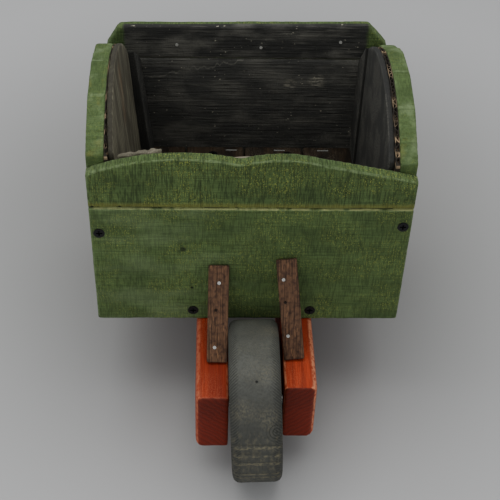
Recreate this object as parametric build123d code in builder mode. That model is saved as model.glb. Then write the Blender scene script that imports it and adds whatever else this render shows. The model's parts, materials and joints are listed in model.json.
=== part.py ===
"""Small wooden wheelbarrow planter: a two-plank box with arched sides on two shafts and a solid wheel.

+Z is up, the wheel is at -Y, the handles point to +Y, and the origin lies on the ground under the
middle of the overall length.  All sizes are millimetres.
"""

import os
from math import atan, atan2, cos, degrees, radians, sin

from build123d import *

# --- Box ---------------------------------------------------------------------------------------
box_width = 240.0
box_length = 207.0
end_board = 10.0
side_board = 13.5
lower_plank = 115.0
board_arris = 1.2

# Heights of the front board's top edge, measured from the box's underside.
front_left_height = 146.0
front_left_hump = 160.5
front_left_hump_x = -50.0
front_dip = 155.5
front_dip_x = -9.0
front_right_hump = 160.0
front_right_hump_x = 17.0
front_right_shoulder = 156.0
front_right_shoulder_x = 49.0
front_right_height = 141.0
dip_radius = 9.0

# Heights of the arched sides, from the box's underside, with the knee where the arch turns straight.
left_front_height = 156.0
left_peak = 187.0
left_knee = 146.5
right_front_height = 150.0
right_peak = 180.0
right_knee = 153.5
side_rear_height = 121.0
knee_to_back_board = 32.0

back_left_height = 150.0
back_right_height = 153.0
back_corner_drop = 18.0
back_left_inset = 11.0
back_right_inset = 16.0
back_corner_round = 5.0
back_lower_plank = 119.0

# --- Floor -------------------------------------------------------------------------------------
bearer_height = 14.0
bearer_width = 24.0
floor_board = 12.0
floor_board_count = 4
floor_board_gap = 0.6
fitting_gap = 0.2

# --- Linings and cardboard inside the box --------------------------------------------------------
cardboard = 3.0
cardboard_paper = 0.4
flute_pitch = 7.0
flute_web = 0.6
flute_tip = 0.4
lining = 4.5
lining_drop = 2.0
left_lining_lean = 4.0
right_lining_lean = 0.0
post_drop = 2.0
left_post = 12.5
left_post_lean = 5.5
right_post = 9.5
right_post_lean = 0.0
front_lining = 4.0
front_lining_drop = 5.0
torn_slat_inset = 6.3
torn_slat_height = 155.5
torn_slat_width = 32.0
torn_slat_rise = 6.0

# --- Shafts, wheel and axle ------------------------------------------------------------------------
frame_offset = 5.0
shaft_top = 93.0
shaft_depth = 57.5
shaft_width = 25.5
shaft_outer_round = 5.0
shaft_inner_round = 1.5
left_shaft_past_axle = 24.0
right_shaft_past_axle = 14.0
handle_reach = 150.0
grip_depth = 29.0
grip_length = 112.0
grip_taper = 40.0
grip_round = 8.0
wheel_diameter = 126.0
wheel_width = 38.5
wheel_side_gap = 1.8
wheel_round = 6.0
wheel_lean = 2.5
wheel_to_box_gap = 3.4
axle_diameter = 8.0
axle_running_clearance = 0.05
axle_plug_length = 5.0
axle_chamfer = 0.6
washer_diameter = 18.0
washer_thickness = 0.8
washer_gap = 0.1
tread_hole_angle = 62.0
tread_hole_x = -1.3
tread_hole_diameter = 2.2
tread_hole_depth = 6.0

# --- Braces ----------------------------------------------------------------------------------------
brace_width = 16.0
brace_thickness = 4.0
brace_arris = 0.8
left_brace_from_wheel_side = 8.95
left_brace_splay = 1.2
left_brace_foot = 46.0
left_brace_rise = 59.5
right_brace_from_wheel_side = 8.65
right_brace_splay = -7.3
right_brace_foot = 42.5
right_brace_rise = 67.0

# Nails and the empty nail hole on each strip: across from its middle, then along from its foot or its top.
left_top_nail = (0.4, 13.5)
left_foot_nail = (-2.1, 12.0)
left_empty_hole = (-1.5, 39.0)
right_top_nail = (-3.5, 15.5)
right_foot_nail = (-3.4, 19.5)
right_empty_hole = (-4.1, 46.0)

# --- Legs --------------------------------------------------------------------------------------------
leg_thickness = 20.0
leg_width = 40.0
leg_setback = 21.0
leg_top_gap = 3.0
leg_arris = 2.0
stretcher_thickness = 18.0
stretcher_clearance = 4.0
stretcher_ground_clearance = 9.0

# --- Fasteners -----------------------------------------------------------------------------------------
screw_head_diameter = 8.4
screw_head_height = 3.4
screw_shank_diameter = 3.6
screw_length = 35.0
long_screw_length = 45.0
screw_slot_width = 1.1
screw_slot_length = 4.8
screw_slot_depth = 2.2
fastener_clearance = 0.1
nail_head_diameter = 2.6
nail_head_height = 0.6
nail_shank_diameter = 1.5
short_nail_length = 24.0
long_nail_length = 42.0
pin_length = 8.5
staple_width = 10.0
staple_wire = 0.7
staple_leg = 5.0
staple_row = 7.0
staple_places = (-12.0, 32.0, 72.0)

# Fastener places, as heights from the box's underside and distances from its middle.
left_screw_height = 91.0
right_screw_height = 98.5
bearer_screw_drop = 4.0
bearer_screw_left = -44.0
bearer_screw_right = 49.0
pin_places = ((12.0, 131.0), (80.0, 137.0), (-60.0, 133.0))

# --- Derived places ------------------------------------------------------------------------------------
side_front_heights = {-1: left_front_height, 1: right_front_height}
side_peaks = {-1: left_peak, 1: right_peak}
side_knees = {-1: left_knee, 1: right_knee}
side_names = {-1: "left", 1: "right"}
lean_angle = radians(wheel_lean)
wheel_radius = wheel_diameter / 2
tread_corner = (wheel_radius - wheel_round, wheel_width / 2 - wheel_round)
axle_height = tread_corner[0] * cos(lean_angle) + tread_corner[1] * sin(lean_angle) + wheel_round
axle_to_box = (wheel_radius**2 - (shaft_top - axle_height) ** 2) ** 0.5 + wheel_to_box_gap
wheel_reach = wheel_radius + axle_to_box
overall_length = wheel_reach + box_length + handle_reach
front_face = wheel_reach - overall_length / 2
back_face = front_face + box_length
front_inside = front_face + end_board
back_inside = back_face - end_board
half_width = box_width / 2
side_inside = half_width - side_board
box_bottom = shaft_top
floor_bottom = box_bottom + bearer_height
floor_top = floor_bottom + floor_board
knee = back_inside - knee_to_back_board
shaft_inner = wheel_width / 2 + wheel_side_gap
shaft_outer = shaft_inner + shaft_width
shaft_bottom = shaft_top - shaft_depth
axle_y = front_face - axle_to_box
handle_end = back_face + handle_reach
leg_middle = back_face - leg_setback - leg_width / 2
stretcher_top = shaft_bottom - stretcher_clearance
stretcher_height = stretcher_top - stretcher_ground_clearance
screw_hole = screw_shank_diameter + 2 * fastener_clearance
nail_hole = nail_shank_diameter + 2 * fastener_clearance

os.makedirs("parts", exist_ok=True)


def save(piece, name):
    """Label a finished piece and write it to its own file."""
    piece.part.label = name
    export_step(piece.part, f"parts/{name}.step")


# --- Fastener places: each plane's +Z points out of the head ---------------------------------------------
def facing(direction, *points):
    """Planes at the points whose +Z runs along the direction."""
    return [Plane(origin=point, z_dir=direction) for point in points]


side_middle = half_width - side_board / 2
end_board_screws = (
    (-side_middle, box_bottom + left_screw_height),
    (side_middle, box_bottom + right_screw_height),
    (bearer_screw_left, floor_bottom - bearer_screw_drop),
    (bearer_screw_right, floor_bottom - bearer_screw_drop),
)
front_screws_at = facing((0, -1, 0), *[(x, front_face, z) for x, z in end_board_screws])
back_screws_at = facing((0, 1, 0), *[(x, back_face, z) for x, z in end_board_screws])
shaft_middles = [frame_offset + side * (shaft_inner + shaft_width / 2) for side in (-1, 1)]
bearer_middles = {
    "bearer_front": front_inside + fitting_gap + bearer_width / 2,
    "bearer_rear": back_inside - fitting_gap - bearer_width / 2,
}
floor_screws_at = facing(
    (0, 0, 1), *[(x, y, floor_top) for x in shaft_middles for y in bearer_middles.values()]
)
leg_screws_at = []
for side in (-1, 1):
    leg_face = frame_offset + side * (shaft_outer + leg_thickness)
    leg_screws_at += facing(
        (side, 0, 0),
        (leg_face, leg_middle - leg_width / 4, shaft_bottom + shaft_depth / 3),
        (leg_face, leg_middle + leg_width / 4, shaft_bottom + shaft_depth / 2),
        (leg_face, leg_middle, stretcher_top - stretcher_height / 2),
    )
back_pins_at = facing(
    (0, -1, 0),
    *[(x, back_inside, box_bottom + height) for x, height in pin_places],
)
staple_ends = [
    (x + end * (staple_width - staple_wire) / 2, back_inside - staple_row, floor_top)
    for x in staple_places
    for end in (-1, 1)
]


def drill(planes, diameter, depth):
    """Cut plain holes down from the planes into the piece being built."""
    with Locations(*planes):
        Hole(radius=diameter / 2, depth=depth)


def drill_flared(planes, depth):
    """Cut a screw's shank hole with a seat for its flared head."""
    slope = atan((screw_head_diameter - screw_shank_diameter) / 2 / screw_head_height)
    with Locations(*planes):
        CounterSinkHole(
            radius=screw_hole / 2,
            counter_sink_radius=screw_head_diameter / 2 + fastener_clearance,
            depth=depth,
            counter_sink_angle=degrees(2 * slope),
        )


def screws(planes, length):
    """Add flared-head screws with a cross recess, their heads flush with the planes."""
    below = (Align.CENTER, Align.CENTER, Align.MAX)
    with Locations(*planes):
        Cylinder(screw_shank_diameter / 2, length, align=below)
        Cone(screw_shank_diameter / 2, screw_head_diameter / 2, screw_head_height, align=below)
        for turn in (0, 90):
            Box(
                screw_slot_length,
                screw_slot_width,
                screw_slot_depth,
                rotation=(0, 0, turn),
                align=below,
                mode=Mode.SUBTRACT,
            )


def nails(planes, length):
    """Add flat-headed nails whose heads sit on the planes."""
    with Locations(*planes):
        Cylinder(nail_shank_diameter / 2, length, align=(Align.CENTER, Align.CENTER, Align.MAX))
        Cylinder(nail_head_diameter / 2, nail_head_height, align=(Align.CENTER, Align.CENTER, Align.MIN))


# --- Braces: each strip leans from a shaft's top up to the front board ------------------------------------
def brace_plane(foot_x, brace_splay, foot, rise):
    """The strip's under face: origin at its foot, +Y up the strip and +Z out to the front."""
    lean = atan2(rise, foot)
    splay = atan2(brace_splay, (rise**2 + foot**2) ** 0.5)
    up_strip = Vector(sin(splay), cos(splay) * cos(lean), cos(splay) * sin(lean))
    outward = Vector(0, -sin(lean), cos(lean))
    return Plane(
        origin=(foot_x, front_face - foot, shaft_top),
        x_dir=up_strip.cross(outward),
        z_dir=outward,
    )


def on_brace(plane, across, along):
    """A plane on the strip's outer face, with its +Z out of that face."""
    return Plane(origin=plane.from_local_coords((across, along, brace_thickness)), z_dir=plane.z_dir)


left_brace_x = frame_offset - shaft_inner - left_brace_from_wheel_side
right_brace_x = frame_offset + shaft_inner + right_brace_from_wheel_side
left_brace_plane = brace_plane(left_brace_x, left_brace_splay, left_brace_foot, left_brace_rise)
right_brace_plane = brace_plane(right_brace_x, right_brace_splay, right_brace_foot, right_brace_rise)
left_brace_length = (left_brace_foot**2 + left_brace_rise**2) ** 0.5
right_brace_length = (right_brace_foot**2 + right_brace_rise**2) ** 0.5
brace_top_nails = [
    on_brace(left_brace_plane, left_top_nail[0], left_brace_length - left_top_nail[1]),
    on_brace(right_brace_plane, right_top_nail[0], right_brace_length - right_top_nail[1]),
]
brace_foot_nails = [
    on_brace(left_brace_plane, *left_foot_nail),
    on_brace(right_brace_plane, *right_foot_nail),
]
brace_empty_holes = [
    on_brace(left_brace_plane, *left_empty_hole),
    on_brace(right_brace_plane, *right_empty_hole),
]

brace_layout = {
    "brace_left": (left_brace_plane, left_brace_length),
    "brace_right": (right_brace_plane, right_brace_length),
}
for name, (plane, length) in brace_layout.items():
    with BuildPart() as brace:
        with BuildSketch(plane):
            Rectangle(brace_width, length, align=(Align.CENTER, Align.MIN))
        extrude(amount=brace_thickness)
        fillet(brace.faces().sort_by(Axis.Y)[0].edges(), brace_arris)
        drill(brace_top_nails + brace_foot_nails + brace_empty_holes, nail_hole, brace_thickness + 1)
        split(bisect_by=Plane.XY.offset(shaft_top), keep=Keep.TOP)
        split(bisect_by=Plane.XZ.offset(-front_face), keep=Keep.TOP)
    save(brace, name)

with BuildPart() as brace_nails:
    nails(brace_top_nails, short_nail_length)
    nails(brace_foot_nails, long_nail_length)
save(brace_nails, "brace_nails")

# --- Front board -----------------------------------------------------------------------------------------
with BuildPart() as front_plank_lower:
    with BuildSketch(Plane.XZ.offset(-front_face)):
        with Locations((0, box_bottom)):
            Rectangle(box_width, lower_plank, align=(Align.CENTER, Align.MIN))
    extrude(amount=-end_board)
    fillet(front_plank_lower.faces().sort_by(Axis.Y)[0].edges(), board_arris)
    drill_flared(front_screws_at, end_board + 1)
    drill(brace_top_nails, nail_hole, short_nail_length + 1)
save(front_plank_lower, "front_plank_lower")

joint_height = box_bottom + lower_plank
dip_point = (front_dip_x, box_bottom + front_dip)
shoulder_point = (front_right_shoulder_x, box_bottom + front_right_shoulder)
left_top = (-half_width, box_bottom + front_left_height)
right_top = (half_width, box_bottom + front_right_height)
with BuildPart() as front_plank_upper:
    with BuildSketch(Plane.XZ.offset(-front_face)) as front_outline:
        with BuildLine():
            ThreePointArc(left_top, (front_left_hump_x, box_bottom + front_left_hump), dip_point)
            ThreePointArc(dip_point, (front_right_hump_x, box_bottom + front_right_hump), shoulder_point)
            Polyline(
                shoulder_point,
                right_top,
                (half_width, joint_height),
                (-half_width, joint_height),
                left_top,
            )
        make_face()
        fillet(front_outline.vertices().sort_by_distance(dip_point)[0], dip_radius)
    extrude(amount=-end_board)
    fillet(front_plank_upper.faces().sort_by(Axis.Y)[0].edges(), board_arris)
save(front_plank_upper, "front_plank_upper")

with BuildPart() as front_screws:
    screws(front_screws_at, screw_length)
save(front_screws, "front_screws")


# --- Side boards -----------------------------------------------------------------------------------------
def side_plane(x, hinge_height=0.0, lean=0.0):
    """A plane facing +X, local X along the barrow and local Y up, tipped about its height by the lean."""
    return Plane(
        origin=(x, 0, hinge_height),
        x_dir=(0, 1, 0),
        z_dir=(cos(radians(lean)), 0, sin(radians(lean))),
    )


def arched_outline(side, front, rear, bottom, shift=0.0, straight_end=None):
    """An arched board's outline, along the barrow and up, with its heights lowered by the shift."""
    start = (front, box_bottom + side_front_heights[side] - shift)
    crown = ((front + rear) / 2, box_bottom + side_peaks[side] - shift)
    turn = (rear, box_bottom + side_knees[side] - shift)
    end = straight_end or turn
    with BuildSketch() as outline:
        with BuildLine():
            ThreePointArc(start, crown, turn)
            if straight_end:
                Line(turn, end)
            Polyline(end, (end[0], bottom), (front, bottom), start)
        make_face()
    return outline.sketch


for side, word in side_names.items():
    with BuildPart() as side_piece:
        with BuildSketch(side_plane(side * half_width)):
            rear_end = (back_inside, box_bottom + side_rear_height)
            add(arched_outline(side, front_inside, knee, box_bottom, straight_end=rear_end))
        extrude(amount=-side * side_board)
        outer_face = side_piece.faces().sort_by(Axis.X)[0 if side < 0 else -1]
        fillet(outer_face.edges(), board_arris)
        drill(front_screws_at + back_screws_at, screw_hole, screw_length + 1)
    save(side_piece, f"side_board_{word}")

# --- Back board ------------------------------------------------------------------------------------------
back_joint = box_bottom + back_lower_plank
with BuildPart() as back_plank_lower:
    with BuildSketch(Plane.XZ.offset(-back_face)):
        with Locations((0, box_bottom)):
            Rectangle(box_width, back_lower_plank, align=(Align.CENTER, Align.MIN))
    extrude(amount=end_board)
    fillet(back_plank_lower.faces().sort_by(Axis.Y)[-1].edges(), board_arris)
    drill_flared(back_screws_at, end_board + 1)
save(back_plank_lower, "back_plank_lower")

with BuildPart() as back_plank_upper:
    with BuildSketch(Plane.XZ.offset(-back_face)) as back_outline:
        with BuildLine():
            Polyline(
                (back_left_inset - half_width, box_bottom + back_left_height),
                (half_width - back_right_inset, box_bottom + back_right_height),
                (half_width, box_bottom + back_right_height - back_corner_drop),
                (half_width, back_joint),
                (-half_width, back_joint),
                (-half_width, box_bottom + back_left_height - back_corner_drop),
                close=True,
            )
        make_face()
        top_corners = back_outline.vertices().sort_by(Axis.Y)[-2:]
        fillet(top_corners, back_corner_round)
    extrude(amount=end_board)
    fillet(back_plank_upper.faces().sort_by(Axis.Y)[-1].edges(), board_arris)
    drill(back_pins_at, nail_hole, pin_length + 1)
save(back_plank_upper, "back_plank_upper")

with BuildPart() as back_screws:
    screws(back_screws_at, screw_length)
save(back_screws, "back_screws")

with BuildPart() as back_pins:
    nails(back_pins_at, pin_length)
save(back_pins, "back_pins")

# --- Floor -----------------------------------------------------------------------------------------------
floor_width = 2 * (side_inside - fitting_gap)
for name, middle in bearer_middles.items():
    with BuildPart() as bearer:
        with BuildSketch(Plane.XY.offset(box_bottom)):
            with Locations((0, middle)):
                Rectangle(floor_width, bearer_width)
        extrude(amount=bearer_height)
        drill(front_screws_at + back_screws_at, screw_hole, screw_length + 1)
        drill(floor_screws_at, screw_hole, long_screw_length + 1)
    save(bearer, name)

floor_pitch = (floor_width + floor_board_gap) / floor_board_count
floor_length = back_inside - front_inside - 2 * fitting_gap
for count in range(floor_board_count):
    board_start = -floor_width / 2 + count * floor_pitch
    with BuildPart() as floor_piece:
        with BuildSketch(Plane.XY.offset(floor_bottom)):
            with Locations((board_start, front_inside + fitting_gap)):
                Rectangle(floor_pitch - floor_board_gap, floor_length, align=(Align.MIN, Align.MIN))
        extrude(amount=floor_board)
        fillet(floor_piece.faces().sort_by(Axis.Z)[-1].edges().filter_by(Axis.Y), board_arris)
        drill_flared(floor_screws_at, floor_board + 1)
        drill(facing((0, 0, 1), *staple_ends), staple_wire + 2 * fastener_clearance, staple_leg + 1)
    save(floor_piece, f"floor_board_{count + 1}")

with BuildPart() as floor_screws:
    screws(floor_screws_at, long_screw_length)
save(floor_screws, "floor_screws")

with BuildPart() as floor_staples:
    with Locations(*[(x, back_inside - staple_row, floor_top) for x in staple_places]):
        Box(staple_width, staple_wire, staple_wire, align=(Align.CENTER, Align.CENTER, Align.MIN))
    with Locations(*staple_ends):
        Cylinder(staple_wire / 2, staple_leg, align=(Align.CENTER, Align.CENTER, Align.MAX))
save(floor_staples, "floor_staples")

# --- Corrugated cardboard: two flat papers with upright flutes open at the top -----------------------------
card_front = front_inside + fitting_gap
card_rear = knee - fitting_gap
flute_count = int((card_rear - card_front) / flute_pitch)
flute_depth = cardboard - 2 * cardboard_paper
flute_base = flute_pitch - 2 * flute_web - flute_tip
flute_slope = degrees(atan(2 * flute_depth / (flute_base - flute_tip)))
lining_leans = {-1: left_lining_lean, 1: right_lining_lean}
lining_tops = {-1: side_inside - fitting_gap, 1: side_inside - cardboard - fitting_gap}


def lining_plane(side):
    """The lining's outer face, hinged at its top edge."""
    hinge_height = box_bottom + side_peaks[side] - lining_drop
    return side_plane(side * lining_tops[side], hinge_height, -side * lining_leans[side])


for side, word in side_names.items():
    card_x = side * (side_inside - cardboard / 2)
    with BuildPart() as card:
        with BuildSketch(Plane.XY.offset(floor_top)):
            with Locations((card_x, (card_front + card_rear) / 2)):
                Rectangle(cardboard, card_rear - card_front)
            for half_pitch in range(1, 2 * flute_count):
                with Locations((card_x, card_front + half_pitch * flute_pitch / 2)):
                    Trapezoid(
                        flute_base,
                        flute_depth,
                        left_side_angle=flute_slope,
                        rotation=90 if half_pitch % 2 else -90,
                        mode=Mode.SUBTRACT,
                    )
        extrude(amount=box_bottom + side_peaks[side] - floor_top)
        with BuildSketch(side_plane(card_x - cardboard)):
            add(arched_outline(side, card_front, card_rear, floor_top, lining_drop))
        extrude(amount=2 * cardboard, mode=Mode.INTERSECT)
        split(bisect_by=lining_plane(side), keep=Keep.BOTTOM if side < 0 else Keep.TOP)
    save(card, f"cardboard_{word}")

# --- Side linings: thin boards on the floor; the left one tips out and crushes the cardboard ---------------
lining_front_end = front_inside + front_lining + 2 * fitting_gap
for side, word in side_names.items():
    hinge_height = box_bottom + side_peaks[side] - lining_drop
    drop_to_floor = (floor_top - hinge_height) / cos(radians(lining_leans[side]))
    with BuildPart() as lining_piece:
        with BuildSketch(lining_plane(side)):
            shift = hinge_height + lining_drop
            add(arched_outline(side, lining_front_end, knee - fitting_gap, drop_to_floor, shift))
        extrude(amount=-side * lining)
    save(lining_piece, f"lining_{word}")

# --- Corner posts: battens against the back board, their tops cut to the arch's straight end ---------------
posts = {-1: left_post, 1: right_post}
post_leans = {-1: left_post_lean, 1: right_post_lean}
for side, word in side_names.items():
    lean = post_leans[side]
    hinge_height = box_bottom + side_knees[side]
    drop_to_floor = (floor_top - hinge_height) / cos(radians(lean))
    with BuildPart() as corner_post:
        with BuildSketch(side_plane(side * side_inside, hinge_height, -side * lean)):
            with BuildLine():
                Polyline(
                    (knee + fitting_gap, -post_drop),
                    (back_inside, side_rear_height - side_knees[side] - post_drop),
                    (back_inside, drop_to_floor),
                    (knee + fitting_gap, drop_to_floor),
                    close=True,
                )
            make_face()
        extrude(amount=-side * posts[side])
    save(corner_post, f"corner_post_{word}")

# --- Front lining: a thin board behind the front board, with one torn slat standing higher ------------------
lining_end = side_inside - cardboard - fitting_gap
torn_start = torn_slat_inset - lining_end
torn_end = torn_start + torn_slat_width
with BuildPart() as lining_front:
    with BuildSketch(Plane.XZ.offset(-front_inside - fitting_gap)):
        with BuildLine():
            Polyline(
                (-lining_end, floor_top),
                (-lining_end, box_bottom + front_left_height - front_lining_drop),
                (torn_start, box_bottom + front_left_height - front_lining_drop + 1),
                (torn_start, box_bottom + torn_slat_height),
                (torn_end, box_bottom + torn_slat_height + torn_slat_rise),
                (torn_end, box_bottom + torn_slat_height - front_lining_drop),
                (front_right_hump_x, box_bottom + front_right_hump - front_lining_drop),
                (lining_end, box_bottom + front_right_height - front_lining_drop),
                (lining_end, floor_top),
                close=True,
            )
        make_face()
    extrude(amount=-front_lining)
save(lining_front, "lining_front")

# --- Shafts ----------------------------------------------------------------------------------------------
past_axle = {-1: left_shaft_past_axle, 1: right_shaft_past_axle}
axle_plane = Plane(
    origin=(frame_offset, axle_y, axle_height),
    x_dir=(0, 1, 0),
    z_dir=(cos(lean_angle), 0, sin(lean_angle)),
)
for side, word in side_names.items():
    inner_x = frame_offset + side * shaft_inner
    front_end = axle_y - past_axle[side]
    grip_start = handle_end - grip_length
    with BuildPart() as shaft:
        with BuildSketch(side_plane(inner_x)) as shaft_outline:
            with BuildLine():
                Polyline(
                    (front_end, shaft_bottom),
                    (grip_start - grip_taper, shaft_bottom),
                    (grip_start, shaft_top - grip_depth),
                    (handle_end, shaft_top - grip_depth),
                    (handle_end, shaft_top),
                    (front_end, shaft_top),
                    close=True,
                )
            make_face()
            taper_corners = shaft_outline.vertices().filter_by_position(
                Axis.X, grip_start - grip_taper - 1, grip_start + 1
            )
            fillet(taper_corners, grip_taper)
            fillet(shaft_outline.vertices().group_by(Axis.X)[-1], grip_round)
        extrude(amount=side * shaft_width)
        by_side = shaft.faces().sort_by(Axis.X)
        outer_face, inner_face = (by_side[0], by_side[-1]) if side < 0 else (by_side[-1], by_side[0])
        fillet(outer_face.edges(), shaft_outer_round)
        fillet(inner_face.edges(), shaft_inner_round)
        with Locations(axle_plane):
            Cylinder(
                axle_diameter / 2 + axle_running_clearance,
                2 * shaft_outer + shaft_width,
                mode=Mode.SUBTRACT,
            )
        drill(floor_screws_at, screw_hole, long_screw_length + 1)
        drill(leg_screws_at, screw_hole, screw_length + 1)
        drill(brace_foot_nails, nail_hole, long_nail_length + 1)
    save(shaft, f"shaft_{word}")

# --- Wheel and axle --------------------------------------------------------------------------------------
tread_angle = radians(tread_hole_angle)
tread_out = Vector(axle_plane.x_dir) * -cos(tread_angle) + Vector(axle_plane.y_dir) * sin(tread_angle)
with BuildPart() as wheel:
    with BuildSketch(axle_plane):
        Circle(wheel_radius)
    extrude(amount=wheel_width / 2, both=True)
    fillet(wheel.edges().filter_by(GeomType.CIRCLE), wheel_round)
    with BuildSketch(axle_plane):
        Circle(axle_diameter / 2 + axle_running_clearance)
    extrude(amount=wheel_width, both=True, mode=Mode.SUBTRACT)
    tread_point = axle_plane.from_local_coords((0, 0, tread_hole_x)) + tread_out * wheel_radius
    drill([Plane(origin=tread_point, z_dir=tread_out)], tread_hole_diameter, tread_hole_depth)
save(wheel, "wheel")

axle_half = shaft_outer - axle_plug_length
with BuildPart() as axle:
    with BuildSketch(axle_plane):
        Circle(axle_diameter / 2)
    extrude(amount=axle_half, both=True)
    chamfer(axle.edges(), axle_chamfer)
save(axle, "axle")

with BuildPart() as axle_plugs:
    for side in side_names:
        with BuildSketch(axle_plane.offset(side * axle_half)):
            Circle(axle_diameter / 2)
        extrude(amount=side * axle_plug_length)
save(axle_plugs, "axle_plugs")

with BuildPart() as axle_washers:
    for side in side_names:
        with BuildSketch(axle_plane.offset(side * (wheel_width / 2 + washer_gap))):
            Circle(washer_diameter / 2)
            Circle(axle_diameter / 2 + axle_running_clearance, mode=Mode.SUBTRACT)
        extrude(amount=side * washer_thickness)
save(axle_washers, "axle_washers")

# --- Legs ------------------------------------------------------------------------------------------------
for side, word in side_names.items():
    with BuildPart() as leg:
        with BuildSketch(side_plane(frame_offset + side * shaft_outer)):
            with Locations((leg_middle, 0)):
                Rectangle(leg_width, shaft_top - leg_top_gap, align=(Align.CENTER, Align.MIN))
        extrude(amount=side * leg_thickness)
        outer_face = leg.faces().sort_by(Axis.X)[0 if side < 0 else -1]
        fillet(outer_face.edges(), leg_arris)
        drill_flared(leg_screws_at, leg_thickness + 1)
    save(leg, f"leg_{word}")

with BuildPart() as leg_stretcher:
    with BuildSketch(Plane.XY.offset(stretcher_top)):
        with Locations((frame_offset, leg_middle)):
            Rectangle(2 * shaft_outer, stretcher_thickness)
    extrude(amount=-stretcher_height)
    fillet(leg_stretcher.edges().filter_by(Axis.X), board_arris)
    drill(leg_screws_at, screw_hole, screw_length + 1)
save(leg_stretcher, "leg_stretcher")

with BuildPart() as leg_screws:
    screws(leg_screws_at, screw_length)
save(leg_screws, "leg_screws")
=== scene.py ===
"""Finishes for a small wooden wheelbarrow planter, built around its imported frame.

Every board is rebuilt from its frame node with an even skin that carries the marks of sawing, splitting
and wear, and gets a stained-wood material that runs with that board's grain.
"""

import json
import math

import bmesh
import bpy
from bpy.props import FloatProperty, FloatVectorProperty, PointerProperty
from mathutils import Matrix, Vector, noise


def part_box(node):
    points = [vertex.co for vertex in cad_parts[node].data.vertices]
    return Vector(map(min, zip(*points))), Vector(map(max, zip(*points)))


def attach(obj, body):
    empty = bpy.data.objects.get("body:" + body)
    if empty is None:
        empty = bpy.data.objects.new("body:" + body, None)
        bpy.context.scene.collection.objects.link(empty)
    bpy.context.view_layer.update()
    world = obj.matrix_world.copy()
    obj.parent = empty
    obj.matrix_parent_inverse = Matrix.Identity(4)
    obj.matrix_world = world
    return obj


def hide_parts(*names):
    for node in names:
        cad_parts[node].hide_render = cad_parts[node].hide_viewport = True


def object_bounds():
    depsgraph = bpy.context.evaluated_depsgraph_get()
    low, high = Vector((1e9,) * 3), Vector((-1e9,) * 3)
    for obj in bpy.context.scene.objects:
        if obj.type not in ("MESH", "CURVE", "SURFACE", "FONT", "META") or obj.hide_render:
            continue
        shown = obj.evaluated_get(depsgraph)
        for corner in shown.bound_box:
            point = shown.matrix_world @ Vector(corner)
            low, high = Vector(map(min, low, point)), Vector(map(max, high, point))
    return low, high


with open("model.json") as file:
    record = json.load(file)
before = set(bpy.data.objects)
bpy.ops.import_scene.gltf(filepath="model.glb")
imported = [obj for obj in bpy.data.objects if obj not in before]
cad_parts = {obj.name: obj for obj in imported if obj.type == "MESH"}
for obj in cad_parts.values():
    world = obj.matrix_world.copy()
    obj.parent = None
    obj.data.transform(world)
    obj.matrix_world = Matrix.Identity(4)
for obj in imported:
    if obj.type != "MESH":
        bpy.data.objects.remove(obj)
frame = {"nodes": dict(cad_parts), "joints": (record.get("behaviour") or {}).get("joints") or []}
cad_low, cad_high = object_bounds()

bl_info = {
    "name": "Wooden wheelbarrow planter",
    "version": (1, 0, 0),
    "blender": (4, 5, 0),
    "location": "View3D > Sidebar > Barrow",
    "description": "Builds the finished pieces of a small wooden wheelbarrow around its frame",
    "category": "Object",
}

MM = 0.001
WAVE_PERIOD = math.tau / 20  # one turn of Blender's wave texture at scale 1, in its own units
SMOOTH = {"interpolation_type": "SMOOTHSTEP"}  # a map range that eases in and out at its ends
BARROW = "barrow"
WHEEL = "wheel"


# --- Small tools ---
def linear(code):
    """Linear RGB of an sRGB hex colour."""
    channels = [int(code[start : start + 2], 16) / 255 for start in (1, 3, 5)]
    return tuple(c / 12.92 if c <= 0.04045 else ((c + 0.055) / 1.055) ** 2.4 for c in channels)


def rgba(colour):
    """A colour with full opacity."""
    return (*colour[:3], 1.0)


def dim(colour, share):
    """A colour at a share of its lightness."""
    return [part * share for part in colour]


def add(tree, kind, inputs=None, out=0, **settings):
    """Add a node with its settings, set or link its inputs, and return one of its outputs."""
    node = tree.nodes.new("ShaderNode" + kind)
    for name, value in settings.items():
        setattr(node, name, value)
    for socket, value in (inputs or {}).items():
        if isinstance(value, bpy.types.NodeSocket):
            tree.links.new(value, node.inputs[socket])
        else:
            node.inputs[socket].default_value = value
    return node.outputs[out]


def layered(tree, tone, *coats):
    """A colour under further coats: each is a mask, and the colour that shows where it is 1."""
    for mask, over in coats:
        under, over = (c if isinstance(c, bpy.types.NodeSocket) else rgba(c) for c in (tone, over))
        tone = add(tree, "Mix", {0: mask, 6: under, 7: over}, out=2, data_type="RGBA")
    return tone


def new_material(name):
    """A new material, with its node tree, its shader and the place on the piece."""
    material = bpy.data.materials.new(name)
    material.use_nodes = True
    tree = material.node_tree
    return material, tree, tree.nodes["Principled BSDF"], add(tree, "TexCoord", out=3)


def dress(obj, material):
    """Give an object one material in place of all that it has."""
    obj.data.materials.clear()
    obj.data.materials.append(material)


def colour(name, code, description):
    """A colour property with its default given as sRGB hex."""
    return FloatVectorProperty(
        name=name, description=description, default=linear(code), size=3, min=0, max=1, subtype="COLOR"
    )


def length(name, millimetres, description):
    """A length property with its default given in millimetres."""
    return FloatProperty(
        name=name,
        description=description,
        default=millimetres * MM,
        min=0,
        precision=4,
        subtype="DISTANCE",
        unit="LENGTH",
    )


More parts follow.
